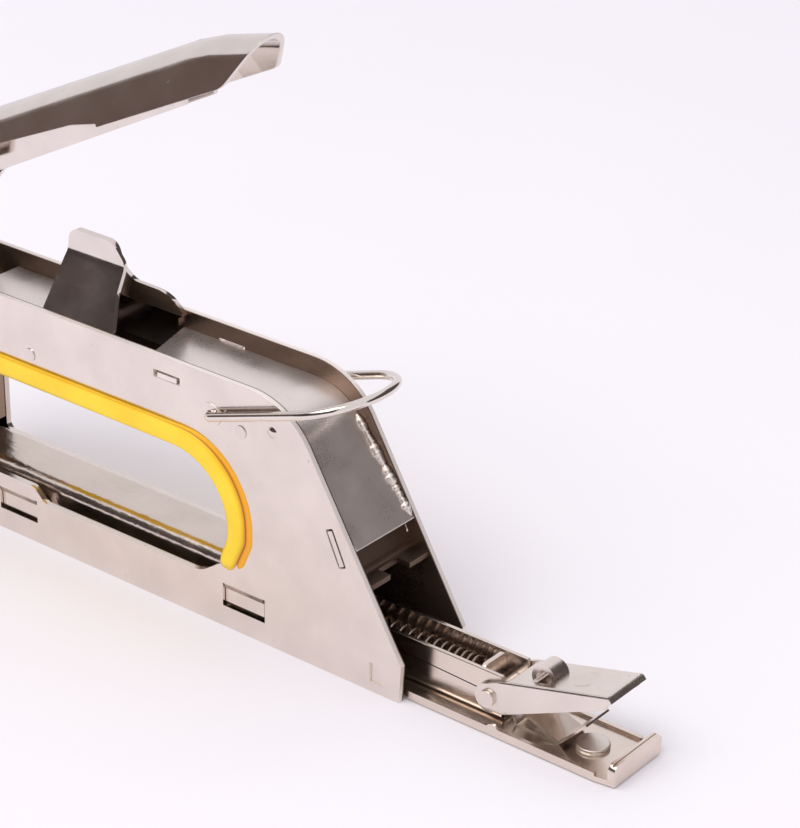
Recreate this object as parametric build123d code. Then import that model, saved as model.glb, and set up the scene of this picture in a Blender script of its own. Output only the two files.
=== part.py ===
from build123d import *
from math import acos, atan, cos, degrees, hypot, pi, radians, sin, sqrt, tan
import os

os.makedirs("parts", exist_ok=True)

# Hand tacker, sizes in millimetres. X runs from the nose to the rear, Y to the left, Z up.
# The origin is on the work surface under the middle of the nose plate.

# Clearances
fit_running = 0.05
fit_sliding = 0.15
fit_free = 0.3

# Body panels
body_length = 155.0
body_width = 22.0
body_height = 59.5
panel_sheet = 1.4
rear_upright = 8.8
rear_lean = 31.0
rear_corner_radius = 18.5
front_chamfer = 7.0
tie_pin_radius = 1.5
tie_pin_proud = 0.25
tie_front_x = 49.8
tie_front_up = 5.5
tie_rear_back = 0.9
tie_rear_down = 1.5
bump_radius = 1.3
bump_height = 0.5
bump_back = 17.0
bump_up = 1.2

# Hand opening
opening_front = 18.5
opening_to_rear = 43.8
opening_below_top = 17.4
opening_floor = 11.2
opening_step_height = 3.1
opening_step_x = 50.0
opening_front_radius = 6.0
opening_roundness = 0.55

# Grip liner
liner_front_gap = 12.5
liner_top_lip = 3.1
liner_top_pad = 2.6
liner_back_lip = 4.2
liner_back_pad = 3.6
liner_stand_out = 1.0
liner_end_rise = 3.8

# Top and rear covers
cover_sheet = 1.2
cover_recess = 4.1
cover_front_end = 51.5
cover_window_end = 79.8
cover_window_skew = 5.5
cover_rear_recess = 3.4
cover_low_end = 30.7
cover_radius = 15.0
cover_tab_length = 7.6
cover_tab_play = 1.0
cover_tab_from_window = 7.6

# Stop fin
fin_sheet = 0.9
fin_front = 52.7
fin_length = 23.3
fin_rise = 16.3
fin_root = 10.0
fin_bend = 11.2

# Nose
nose_sheet = 1.2
nose_below_top = 9.5
nose_flange = 12.5
guide_sheet = 1.2
blade_thickness = 1.0
blade_width = 9.6

# Magazine housing
housing_width = 14.2
housing_top = 14.5
housing_sheet = 1.2
housing_foot = 2.8
housing_to_rear = 38.0
housing_radius = 2.6

# Pressed tongues
tongue_length = 12.0
tongue_foot = 5.1
tongue_height = 5.6
tongue_front_x = 37.5
tongue_to_rear = 48.7
tongue_press = 0.8
tongue_gap = 0.8
dimple_size = 3.6
dimple_depth = 0.5

# Strike plate
strike_sheet = 1.2
strike_lip_height = 24.0
strike_to_rear = 8.8
strike_top = 35.6
strike_lean = 24.9
strike_notch = 6.4

# Handle
handle_width = 20.0
handle_sheet = 1.2
handle_pivot_x = 20.4
handle_pivot_below_top = 11.2
handle_reach = 112.3
handle_tip = 16.5
handle_tip_cut = 6.2
handle_tip_sink = 0.4
handle_slope = 25.3
handle_lean = 30.0
handle_depth = 10.35
handle_shoulder = 5.0
handle_rise = 31.6
handle_neck_front = 4.2
handle_neck_length = 14.1
handle_notch = 3.2
handle_droop = 3.9
handle_squeeze = 32.5
pivot_radius = 3.0
pivot_head_radius = 4.6
pivot_head = 0.8
lever_sheet = 1.2
lever_inset = 3.8
lever_show = 1.5
lever_end = 86.5
lever_tip = 92.5
lever_boss = 5.4
lever_toe = 15.0
lever_toe_radius = 2.0
lever_toe_down = 18.0
rivet_radius = 1.6
rivet_head_radius = 2.3
rivet_head = 0.4
rivet_head_depth = 2.8
rivet_front_in = 5.0
rivet_front_up = 6.0
rivet_rear_in = 0.8
rivet_rear_up = 18.6

# Hammer and main spring
hammer_x = 9.0
stem_radius = 2.8
foot_height = 3.5
foot_radius = 5.5
head_height = 4.2
head_length = 9.0
seat_gap = 0.66
seat_sheet = 2.0
main_wire = 1.5
main_radius = 4.6
main_turns = 4

# Bail
bail_wire = 2.0
bail_reach = 39.2
bail_stand_off = 1.8
bail_to_rear = 51.2
bail_below_top = 9.2
bail_angle = 18.4
bail_bend = 1.9
boss_radius = 2.7
boss_height = 0.35

# Feeder, pulled out of the rear end
feeder_out = 50.5
base_sheet = 1.2
base_clear = 0.3
base_side_gap = 0.9
base_nose_gap = 41.5
base_flange = 0.7
curl_from_lip = 28.2
curl_radius = 1.5
lip_height = 4.8
lip_sheet = 1.6
lip_inset = 0.3
rail_width = 9.8
rail_top = 12.2
rail_sheet = 1.0
rail_nose_gap = 5.5
rail_from_lip = 28.7
rod_radius = 1.0
rod_height = 7.4
tab_from_lip = 35.0
tab_sheet = 1.0
push_wire = 0.8
push_radius = 3.1
push_turns_open = 28
push_turns_graded = 14
push_pitch_end = 1.3
shoe_length = 8.0
shoe_sheet = 0.5

# Latch
latch_pin_from_lip = 31.4
latch_pin_z = 6.8
latch_pin_radius = 1.3
latch_head_radius = 1.9
latch_head = 0.8
latch_eye = 3.2
latch_sheet = 1.0
latch_start_from_lip = 26.6
latch_end_from_lip = 2.5
latch_slope = 14.8
latch_rise = 5.5
latch_arm_tip = 3.2
latch_loop_from_lip = 20.3
latch_loop_radius = 3.0
latch_loop_sheet = 1.1
latch_loop_half = 2.3
latch_dimple_from_lip = 13.3
latch_dimple_ball = 7.5
latch_dimple_depth = 0.6
leaf_sheet = 0.5
leaf_width = 8.0
leaf_foot = 2.0
leaf_knee = 3.5
leaf_top = 5.3
leaf_tail_run = 5.8
leaf_tail_rise = 6.6
disc_radius = 3.6
disc_height = 1.0
disc_from_lip = 9.3

# Shared values
half = body_width / 2
inner = half - panel_sheet
nose_back = nose_sheet / 2
cover_z = body_height - cover_recess
pivot_z = body_height - handle_pivot_below_top
bail_x = body_length - bail_to_rear
bail_z = body_height - bail_below_top
opening_back = body_length - opening_to_rear
opening_top = body_height - opening_below_top
opening_rise = opening_top - opening_floor
opening_back_radius = opening_roundness * opening_rise
liner_end_height = opening_floor + liner_end_rise
nose_height = body_height - nose_below_top
housing_rear_end = body_length - housing_to_rear
tongue_rear_x = body_length - tongue_to_rear
strike_lip_end = body_length - strike_to_rear
toe_x = handle_pivot_x - lever_toe * cos(radians(lever_toe_down))
toe_z = pivot_z - lever_toe * sin(radians(lever_toe_down))
seat_height = toe_z - lever_toe_radius - seat_gap - seat_sheet
housing_half = housing_width / 2
handle_half = handle_width / 2
lever_half = handle_half - handle_sheet - lever_inset
rail_half = rail_width / 2
rail_inner = rail_half - rail_sheet
base_top = base_clear + base_sheet
base_half = inner - base_side_gap
lip_width = 2 * (base_half - lip_inset)
bail_half = half + bail_stand_off
lip_front = body_length + feeder_out
lip_rear = lip_front + lip_sheet
base_front = feeder_out + base_nose_gap
rail_front = feeder_out + rail_nose_gap
rail_rear = lip_front - rail_from_lip
tab_x = lip_front - tab_from_lip
curl_x = lip_front - curl_from_lip
disc_x = lip_front - disc_from_lip
latch_pin_x = lip_front - latch_pin_from_lip
latch_start = lip_front - latch_start_from_lip
latch_end = lip_front - latch_end_from_lip
latch_loop_x = lip_front - latch_loop_from_lip
latch_dimple_x = lip_front - latch_dimple_from_lip
blade_front = nose_back + fit_sliding
blade_back = blade_front + blade_thickness
guide_front = blade_back + fit_sliding
guide_back = guide_front + guide_sheet


def toward(a, b):
    d = hypot(b[0] - a[0], b[1] - a[1])
    return ((b[0] - a[0]) / d, (b[1] - a[1]) / d)


def path(corners, closed=True):
    """Lines and tangent arcs through corners given as (x, z) or (x, z, radius)."""
    n = len(corners)
    ends = []
    for i, c in enumerate(corners):
        p = (c[0], c[1])
        r = c[2] if len(c) > 2 else 0
        if r == 0 or (not closed and i in (0, n - 1)):
            ends.append((p, None, p))
            continue
        a = toward(p, corners[i - 1])
        b = toward(p, corners[(i + 1) % n])
        bend = acos(max(-1, min(1, a[0] * b[0] + a[1] * b[1]))) / 2
        t = r / tan(bend)
        m = toward((0, 0), (a[0] + b[0], a[1] + b[1]))
        k = r / sin(bend) - r
        start = (p[0] + a[0] * t, p[1] + a[1] * t)
        stop = (p[0] + b[0] * t, p[1] + b[1] * t)
        ends.append((start, (p[0] + m[0] * k, p[1] + m[1] * k), stop))
    edges = []
    for i in range(n):
        if ends[i][1]:
            edges.append(ThreePointArc(*ends[i]))
        if closed or i < n - 1:
            a = ends[i][2]
            b = ends[(i + 1) % n][0]
            if hypot(a[0] - b[0], a[1] - b[1]) > 1e-6:
                edges.append(Line(a, b))
    return edges


def outline(corners):
    return make_face(path(corners))


def shifted(corners, t):
    """The corners of an open path moved to its left by t, with radii to match."""
    n = len(corners)
    out = []
    for i, c in enumerate(corners):
        a = toward(corners[i - 1], c) if i > 0 else toward(c, corners[1])
        b = toward(c, corners[i + 1]) if i < n - 1 else a
        turn = a[0] * b[1] - a[1] * b[0]
        k = t / (1 + a[0] * b[0] + a[1] * b[1])
        p = (c[0] - (a[1] + b[1]) * k, c[1] + (a[0] + b[0]) * k)
        r = c[2] if len(c) > 2 else 0
        if r:
            r = r - t if turn > 0 else r + t
        out.append((p[0], p[1], r))
    return out


def strip(corners, t):
    """A bent sheet of thickness t whose left face follows the corners."""
    return outline(list(corners) + shifted(corners, -t)[::-1])


def across(sketch, y0, y1):
    """A side-view sketch made solid between two planes across the width."""
    return Plane(origin=(0, y1, 0), x_dir=(1, 0, 0), z_dir=(0, -1, 0)) * extrude(sketch, y1 - y0)


def along(sketch, x0, x1):
    """A cross-section in Y and Z made solid along the length."""
    return Plane(origin=(x0, 0, 0), x_dir=(0, 1, 0), z_dir=(1, 0, 0)) * extrude(sketch, x1 - x0)


def block(x0, x1, y0, y1, z0, z1):
    return Pos((x0 + x1) / 2, (y0 + y1) / 2, (z0 + z1) / 2) * Box(x1 - x0, y1 - y0, z1 - z0)


def pin(x, z, radius, y0, y1):
    """A round pin across the width."""
    return Pos(x, (y0 + y1) / 2, z) * Rot(90, 0, 0) * Cylinder(radius, y1 - y0)


def rod(x0, x1, y, z, radius):
    """A round rod along the length."""
    return Pos((x0 + x1) / 2, y, z) * Rot(0, 90, 0) * Cylinder(radius, x1 - x0)


def save(name, shape):
    solids = shape.solids() if hasattr(shape, "solids") else [shape]
    part = solids[0] if len(solids) == 1 else Compound(children=list(solids))
    part.label = name
    export_step(part, "parts/" + name + ".step")


def other_side(shape):
    return mirror(shape, about=Plane.XZ)


def arc_through(p, tangent, q):
    """An arc from p, leaving along the tangent, to q."""
    chord = q - p
    c = chord.normalized()
    side = tangent - c * tangent.dot(c)
    bend = acos(max(-1, min(1, tangent.dot(c))))
    middle = (p + q) * 0.5 + side.normalized() * (chord.length / 2 * tan(bend / 2))
    return ThreePointArc(p, middle, q)


def biarc(p, t, q, u):
    v = q - p
    s = t + u
    k = 2 * (1 - t.dot(u))
    d = (-v.dot(s) + sqrt(v.dot(s) ** 2 + k * v.dot(v))) / k
    m = (p + q + (t - u) * d) * 0.5
    second = arc_through(q, u * -1, m)
    return [arc_through(p, t, m), ThreePointArc(m, second @ 0.5, q)]


def coil(name, radius, wire, length, pitches):
    """A coil along +Z from 0 to length. The pitches are those of its half turns."""
    lead = 2.6 * wire
    spare = length - 2 * (wire + lead) - sum(pitches) / 2
    heights = [wire + lead]
    for p in pitches:
        heights.append(heights[-1] + p / 2 + spare / len(pitches))
    quarter = pi / 2
    steps = []
    for i, z in enumerate(heights):
        a = quarter + i * pi
        rise = (heights[min(i + 1, len(heights) - 1)] - heights[max(i - 1, 0)])
        rise = rise / (pi * (min(i + 1, len(heights) - 1) - max(i - 1, 0)))
        t = Vector(-radius * sin(a), radius * cos(a), rise).normalized()
        steps.append((Vector(radius * cos(a), radius * sin(a), z), t))
    last = quarter + (len(heights) - 1) * pi + quarter
    up = Vector(0, 0, 1)
    foot = Vector(radius, 0, 0)
    top = Vector(radius * cos(last), radius * sin(last), length)
    edges = [Line(foot, foot + up * wire)]
    edges += biarc(foot + up * wire, up, *steps[0])
    for a, b in zip(steps, steps[1:]):
        edges += biarc(*a, *b)
    edges += biarc(*steps[-1], top - up * wire, up)
    edges.append(Line(top - up * wire, top))
    line = Wire(edges)
    points = []
    place = 0.0
    for e in edges:
        count = max(2, int(e.length / (wire / 2)))
        for j in range(count):
            points.append((place + e.length * j / count, e @ (j / count)))
        place += e.length
    reach = max(pitches) + 4 * wire
    least = reach
    for i, (s, p) in enumerate(points):
        for w, q in points[i + 1:i + 4000]:
            if w - s > 2 * pi * radius * 1.8:
                break
            if w - s > 3 * wire:
                least = min(least, (q - p).length)
    print(name, "least gap to itself", round(least - wire, 2), "mm")
    section = Plane(origin=foot, z_dir=up) * Circle(wire / 2)
    return sweep(section, path=line)


# Side panels
def rear_edge(z):
    return body_length + 0.5 - (z - rear_upright) * tan(radians(rear_lean))


panel_face = outline([
    (nose_back, 0), (body_length, 0), (body_length + 0.5, rear_upright),
    (rear_edge(body_height), body_height, rear_corner_radius),
    (nose_back + front_chamfer, body_height, 2.0),
    (nose_back, body_height - 1.5 * front_chamfer, 2.0),
])


def opening(step):
    """The hand opening, with a raised floor of the given height toward the nose."""
    if step:
        floor = [
            (opening_front, opening_floor + step, 2.0), (opening_step_x - 1.2, opening_floor + step, 2.2),
            (opening_step_x + 2.0, opening_floor, 2.2),
        ]
    else:
        floor = [(opening_front, opening_floor, 2.0)]
    return outline(floor + [
        (opening_back - 11.5, opening_floor, 8.0),
        (opening_back - 3.4, opening_floor + 0.175 * opening_rise, 2.0),
        (opening_back, opening_floor + 0.35 * opening_rise, 4.0),
        (opening_back, opening_top, opening_back_radius),
        (opening_front, opening_top, opening_front_radius),
    ])


opening_face = opening(opening_step_height)
plain_opening_face = opening(0)
pin_places = [
    (tie_front_x, opening_top + tie_front_up),
    (opening_back + tie_rear_back, bail_z - tie_rear_down),
]
tab_start = cover_window_end + cover_tab_from_window
tab_slot = (tab_start, tab_start + cover_tab_length)
strike_foot_x = strike_lip_end - 4.7
strike_dir = (-sin(radians(strike_lean)), cos(radians(strike_lean)))


def strike_at(z):
    return strike_foot_x + (z - strike_lip_height) * strike_dir[0] / strike_dir[1]


def tongue(x0):
    """A tongue joined to the panel at its top edge and pressed a little inward."""
    low = tongue_foot + tongue_gap
    high = tongue_foot + tongue_height
    bend = high - 2 * tongue_press
    face = make_face(Polyline(
        (-half, high), (-inner, high), (-inner + tongue_press, bend), (-inner + tongue_press, low),
        (-half + tongue_press, low), (-half + tongue_press, bend), close=True))
    return along(face, x0 + 0.15, x0 + tongue_length - tongue_gap)


strike_tab = strip([
    (strike_at(strike_lip_height + 10.2), strike_lip_height + 10.2),
    (strike_at(strike_lip_height + 3.0), strike_lip_height + 3.0)], strike_sheet)
dimple_x = body_length - 7.8
dimple_end = dimple_x + dimple_size
dimple_low = 2.2
dimple_high = dimple_low + 1.3 * dimple_size
bump_x = bail_x + bump_back
bump_z = bail_z + bump_up
ball = (bump_radius ** 2 + bump_height ** 2) / (2 * bump_height)


def panel(opening_cut):
    """The right-hand form of a side panel."""
    sheet = across(panel_face - opening_cut, -half, -inner)
    for x0 in (tongue_front_x, tongue_rear_x):
        sheet -= block(x0, x0 + tongue_length, -half - 1, -inner + 1, tongue_foot, tongue_foot + tongue_height)
        sheet += tongue(x0)
    sheet -= block(tab_slot[0], tab_slot[1], -half - 1, -inner + 1, cover_z - cover_sheet - 0.1, cover_z + 0.5)
    sheet -= across(offset(strike_tab, 0.45), -half - 1, -inner + 1)
    sheet -= block(dimple_x, dimple_end, -half - 1, -half + dimple_depth, dimple_low, dimple_high)
    sheet += block(dimple_x, dimple_end, -inner - 0.2, -inner + dimple_depth, dimple_low, dimple_high)
    sheet += pin(bail_x, bail_z, boss_radius, -half - boss_height, -inner - 0.2)
    sheet -= pin(bail_x, bail_z, bail_wire / 2 + fit_running, -half - 2, -inner + 1)
    sheet += Pos(bump_x, -half - bump_height + ball, bump_z) * Sphere(ball) & block(
        bump_x - 3, bump_x + 3, -half - 3, -half + 0.5, bump_z - 3, bump_z + 3)
    for x, z in pin_places:
        sheet -= pin(x, z, tie_pin_radius, -half - 1, -inner + 1)
    return sheet - pin(handle_pivot_x, pivot_z, pivot_radius, -half - 1, -inner + 1)


save("side_panel_right", panel(opening_face))
save("side_panel_left", other_side(panel(plain_opening_face)))

# Pins that tie the panels
pins = [pin(x, z, tie_pin_radius, -half - tie_pin_proud, half + tie_pin_proud) for x, z in pin_places]
save("cross_pins", Compound(children=pins))

# Grip liner, clipped round the top and the rear edge of the hand opening
liner_front = opening_front + liner_front_gap
liner_out = [
    (liner_front, opening_top + liner_top_lip),
    (opening_back + liner_back_lip, opening_top + liner_top_lip, opening_back_radius + 2.0),
    (opening_back + liner_back_lip, opening_floor + 0.372 * opening_rise, 5.0),
    (opening_back + 0.7, liner_end_height - 0.4),
]
liner_in = [
    (opening_back - 6.4, liner_end_height + 0.3, 0.6),
    (opening_back - liner_back_pad, opening_floor + 0.356 * opening_rise, 5.0),
    (opening_back - liner_back_pad, opening_top - liner_top_pad, opening_back_radius - 2.0),
    (liner_front, opening_top - liner_top_pad),
]
liner = across(outline(liner_out + liner_in), -half - liner_stand_out, half + liner_stand_out)
for s in (-1, 1):
    slab = across(panel_face - opening_face, min(s * half, s * inner), max(s * half, s * inner))
    liner -= slab
save("grip_liner", liner)

# Recessed covers between the panels
slope_top_z = cover_z - 4.5
slope_top_x = rear_edge(slope_top_z) - cover_rear_recess / cos(radians(rear_lean))
slope_end_x = rear_edge(cover_low_end)
knee_x = slope_top_x + (cover_z - slope_top_z) * (slope_top_x - slope_end_x) / (slope_top_z - cover_low_end)
window_left = cover_window_end - cover_window_skew / 2
window_right = cover_window_end + cover_window_skew / 2
spine_path = [(window_left, cover_z), (knee_x, cover_z, cover_radius), (slope_end_x, cover_low_end)]
spine = across(strip(spine_path, cover_sheet), -inner, inner)
window_cut = make_face(Polyline(
    (window_left - 1, inner + 1), (window_left, inner), (window_right, -inner),
    (window_right, -inner - 1), (window_left - 1, -inner - 1), close=True))
spine -= Pos(0, 0, cover_z - 2 * cover_sheet) * extrude(window_cut, 3 * cover_sheet)
for s in (-1, 1):
    a = s * (inner - 0.5)
    b = s * half
    spine += block(tab_slot[0] + cover_tab_play, tab_slot[1] - cover_tab_play, min(a, b), max(a, b),
                   cover_z - cover_sheet, cover_z)
save("spine_cover", spine)

front_cover_start = handle_pivot_x + lever_boss - 0.4
front_cover = block(front_cover_start, cover_front_end, -inner, inner, cover_z - cover_sheet, cover_z)
save("front_cover", front_cover)

# Stop fin, two leaves that meet in the middle. The left one reaches further back.
fin_top = body_height + fin_rise
fin_back = fin_front + fin_length
leaf_path = [
    (-inner, cover_z - fin_root + 4.0), (-inner, body_height - 0.8, 1.5),
    (-fin_sheet, body_height + fin_bend, 3.5), (-fin_sheet, fin_top),
]
leaf = along(strip(leaf_path, fin_sheet), fin_front, fin_back + 4.0)
leaf_front = [
    (fin_front, 0), (fin_front, body_height + 10.0, 4.0), (fin_front + 0.7, fin_top, 2.8),
    (fin_back - 9.5, fin_top, 3.0),
]
short_back = [
    (fin_back - 6.4, body_height + 12.5, 3.0), (fin_back - 5.2, body_height + 6.0, 4.0),
    (fin_back - 2.3, body_height), (fin_back - 2.3, 0),
]
long_back = [
    (fin_back - 7.6, body_height + 11.0, 2.5), (fin_back - 7.3, body_height + 6.8, 1.6),
    (fin_back + 2.6, body_height + 6.5, 3.2), (fin_back + 2.6, body_height - 0.6),
    (fin_back + 0.4, body_height - 2.0), (fin_back + 0.4, 0),
]
save("stop_fin_right", leaf & across(outline(leaf_front + short_back), -half, half))
save("stop_fin_left", other_side(leaf & across(outline(leaf_front + long_back), -half, half)))

# Magazine housing
housing_path = [
    (housing_half, housing_foot), (housing_half, housing_top, housing_radius),
    (-housing_half, housing_top, housing_radius), (-housing_half, housing_foot),
]
housing_face = outline(housing_path + shifted(housing_path, housing_sheet)[::-1])
housing = along(housing_face, guide_front, housing_rear_end)
save("magazine_housing", housing)

# Strike plate for the latch
strike_path = [
    (strike_at(strike_top), strike_top), (strike_at(strike_lip_height), strike_lip_height, 2.0),
    (strike_lip_end, strike_lip_height),
]
strike = across(outline(strike_path + shifted(strike_path, -strike_sheet)[::-1]), -inner, inner)
strike -= block(strike_lip_end - 3.4, strike_lip_end + 1, -strike_notch / 2, strike_notch / 2,
                strike_lip_height - 3, strike_lip_height + 1)
for s in (-1, 1):
    strike += across(strike_tab, min(s * (inner - 0.4), s * half), max(s * (inner - 0.4), s * half))
save("strike_plate", strike)

# Nose plate, driver guide, spring seat and guard plate
nose = block(-nose_sheet / 2, nose_back, -half - nose_sheet, half + nose_sheet, 0, nose_height)
for s in (-1, 1):
    y = s * half
    w = s * (half + nose_sheet)
    nose += block(nose_back - 0.2, nose_back + nose_flange, min(y, w), max(y, w), 0, nose_height - 4.0)
nose = fillet(nose.edges().filter_by(Axis.Z).group_by(Axis.X)[0], 0.9)
save("nose_plate", nose)

guide = block(guide_front, guide_back, -inner, inner, housing_top, seat_height)
guide -= block(guide_front - 1, guide_back + 1, -4.0, 4.0, housing_top - 1, seat_height - 3.0)
save("driver_guide", guide)

seat_rear = hammer_x + foot_radius + 2.0
seat = block(guide_front, seat_rear, -inner, inner, seat_height, seat_height + seat_sheet)
seat -= Pos(hammer_x, 0, seat_height) * Cylinder(stem_radius + fit_running, 8)
save("spring_seat", seat)

guard = block(opening_front - 1.4, opening_front - 0.2, -inner, inner, housing_top, opening_top - 1.5)
save("guard_plate", guard)

# Handle pivot pin
pivot = pin(handle_pivot_x, pivot_z, pivot_radius, -half, half)
for s in (-1, 1):
    a = s * half
    b = s * (half + pivot_head)
    pivot += pin(handle_pivot_x, pivot_z, pivot_head_radius, min(a, b), max(a, b))
save("handle_pivot", pivot)

# Handle shell, drawn raised
slope = tan(radians(handle_slope))
drop = handle_depth / cos(radians(handle_slope))
neck_back = handle_neck_front + handle_neck_length
neck_foot = body_height + 3.4
tail_z = pivot_z + handle_rise + (handle_reach - handle_pivot_x) * slope + 13.0


def top_line(x):
    return tail_z + (x - handle_reach) * slope


def low_line(x):
    return top_line(x) - drop


top_chain = [
    (handle_reach, top_line(handle_reach) - handle_droop),
    (handle_reach - handle_tip, top_line(handle_reach - handle_tip), 14.0),
    (handle_neck_front + 10.0, top_line(handle_neck_front + 10.0), 13.0),
    (handle_neck_front, top_line(handle_neck_front + 10.0) - 15.5, 13.0), (handle_neck_front, neck_foot),
]
notch_end = handle_reach - 40.5
notch_start = neck_back + 18.0
low_chain = [
    (neck_back, neck_foot), (neck_back, low_line(neck_back), 9.0),
    (notch_start, low_line(notch_start)), (notch_start + 2.5, low_line(notch_start + 2.5) + handle_notch),
    (notch_end - 9.0, low_line(notch_end - 9.0) + 0.7 * handle_notch, 20.0),
    (notch_end - 0.8, low_line(notch_end - 0.8) + 0.25 * handle_notch), (notch_end, low_line(notch_end)),
    (handle_reach - handle_tip_cut, low_line(handle_reach - handle_tip_cut), 5.0),
]
outer = across(outline(top_chain + low_chain), -handle_half, handle_half)
front_part = handle_neck_front + 5.0
crown = [
    e for e in outer.edges()
    if abs(abs(e.center().Y) - handle_half) < 1e-3
    and (e.center().Z > top_line(e.center().X) - 7.5 or e.center().X < front_part)
    and e.center().X < handle_reach - 4.5 and e.center().Z > neck_foot + 0.5
]
outer = fillet(crown, handle_shoulder)
inside = shifted(top_chain, handle_sheet)
first = inside[0]
ahead = toward(inside[1], first)
inside[0] = (first[0] + ahead[0] * 6, first[1] + ahead[1] * 6)
inside[-1] = (inside[-1][0], neck_foot - 10)
void = across(outline(inside + [(handle_reach, neck_foot - 10)]), -handle_half + handle_sheet,
              handle_half - handle_sheet)
roof = [
    e for e in void.edges()
    if abs(abs(e.center().Y) - handle_half + handle_sheet) < 1e-3
    and (e.center().Z > top_line(e.center().X) - 10 or e.center().X < front_part)
    and e.center().X < handle_reach - 1.0 and e.center().Z > neck_foot - 9
]
void = fillet(roof, handle_shoulder - handle_sheet)


tip_x = handle_reach - handle_tip
tip_slope = degrees(atan(slope - handle_droop / handle_tip))


def arch(sheet, tilt, sink=0.0):
    """The handle's section along a line through the start of its tip, moved inward by the sheet."""
    lean = radians(handle_lean)
    side = handle_half - sheet
    foot = -handle_depth - sheet * (1 / cos(lean) - 1) / tan(lean)
    peak = (handle_half - sheet / cos(lean)) / tan(lean) - handle_depth
    crown_radius = (peak + sheet) / (1 / sin(lean) - 1)
    section = outline([(-side, -95), (-side, foot), (0, peak, crown_radius), (side, foot), (side, -95)])
    a = radians(tilt)
    start = 1.4 * handle_reach
    plane = Plane(origin=(tip_x - start * cos(a), 0, top_line(tip_x) - sink - start * sin(a)),
                  x_dir=(0, 1, 0), z_dir=(cos(a), 0, sin(a)))
    return plane * extrude(section, 1.4 * start)


for tilt, sink in ((handle_slope, 0), ((handle_slope + tip_slope) / 2, handle_tip_sink), (tip_slope, 0)):
    outer &= arch(0, tilt, sink)
    void &= arch(handle_sheet, tilt, sink)
shell = outer - void

# Inner lever with its lifting toes
lever_slope = tan(radians(handle_slope + 1.5))
lever_low_start = low_line(lever_end) - lever_show


def lever_low(x):
    return lever_low_start + (x - lever_end) * lever_slope


turn = radians(handle_squeeze)
fin_dx = fin_back - 9.5 - handle_pivot_x
fin_dz = fin_top - pivot_z
stop_x = handle_pivot_x + fin_dx * cos(turn) - fin_dz * sin(turn)
stop_z = pivot_z + fin_dx * sin(turn) + fin_dz * cos(turn)
web_low = stop_z - lever_low(stop_x) + fit_free
web_top = web_low + lever_sheet
lever_front = handle_neck_front + handle_sheet + 2.3
web_start = neck_back + 8.0
plate = outline([
    (handle_pivot_x - 4.4, pivot_z), (lever_front + 1.2, pivot_z + 9.5, 3.0),
    (lever_front, neck_foot + 10.0, 6.0), (neck_back - 1.6, lever_low(web_start) + web_top - 4.0, 4.0),
    (web_start, lever_low(web_start) + web_top), (lever_end, lever_low(lever_end) + web_top),
    (lever_end, lever_low(lever_end) + 3.2), (lever_tip, lever_low(lever_tip) + 1.8),
    (lever_tip, lever_low(lever_tip)), (neck_back + 10, lever_low(neck_back + 10), 9.0),
    (neck_back - 0.6, neck_foot + 6.0, 6.0), (neck_back + 0.6, pivot_z + 2.0),
])
arm = outline([
    (toe_x, toe_z - lever_toe_radius), (handle_pivot_x, pivot_z - lever_boss),
    (handle_pivot_x - 4.0, pivot_z), (toe_x + 6.4, toe_z + lever_toe_radius - 0.3),
    (toe_x, toe_z + lever_toe_radius),
])
side = plate + arm + Pos(handle_pivot_x, pivot_z) * Circle(lever_boss)
side += Pos(toe_x, toe_z) * Circle(lever_toe_radius)
side -= Pos(handle_pivot_x, pivot_z) * Circle(pivot_radius + fit_running)
lever = across(side, lever_half - lever_sheet, lever_half)
lever += other_side(lever)
web = outline([
    (web_start, lever_low(web_start) + web_low), (lever_end, lever_low(lever_end) + web_low),
    (lever_end, lever_low(lever_end) + web_top), (web_start, lever_low(web_start) + web_top),
])
lever += across(web, -lever_half + 0.2, lever_half - 0.2)
rivets_at = [
    (lever_front + rivet_front_in, neck_foot + rivet_front_up),
    (neck_back - rivet_rear_in, neck_foot + rivet_rear_up),
]
for x, z in rivets_at:
    lever -= pin(x, z, rivet_radius, -half, half)
    shell -= pin(x, z, rivet_head_radius, -half, half)
save("handle_shell", shell)
save("inner_lever", lever)

# Handle rivets
rivets = []
for x, z in rivets_at:
    for s in (-1, 1):
        a = s * (lever_half - lever_sheet)
        b = s * (handle_half - rivet_head_depth)
        c = s * (handle_half + rivet_head)
        rivets.append(pin(x, z, rivet_radius, min(a, b), max(a, b)) + pin(
            x, z, rivet_head_radius, min(b, c), max(b, c)))
save("handle_rivets", Compound(children=rivets))

# Hammer, driver blade and main spring
foot_low = housing_top + 1.0
foot_top = foot_low + foot_height
head_low = toe_z + lever_toe_radius + 0.12
hammer = Pos(hammer_x, 0, foot_low + foot_height / 2) * Cylinder(foot_radius, foot_height)
hammer += block(blade_back, hammer_x, -3.6, 3.6, foot_low, foot_top)
hammer += Pos(hammer_x, 0, (foot_low + head_low) / 2 + 1) * Cylinder(stem_radius, head_low - foot_low + 2)
head_front = hammer_x - 5.6
hammer += block(head_front, head_front + head_length, -lever_half, lever_half,
                head_low, head_low + head_height)
save("hammer", hammer)

blade = block(blade_front, blade_back, -blade_width / 2, blade_width / 2, 0.4, foot_top + 6.0)
save("driver_blade", blade)

main_length = seat_height - foot_top
main_lead = main_length - 7.2 * main_wire
main_pitches = [main_lead / main_turns] * (2 * main_turns)
main_coil = coil("main_spring", main_radius, main_wire, main_length, main_pitches)
save("main_spring", Pos(hammer_x, 0, foot_top) * main_coil)

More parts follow.
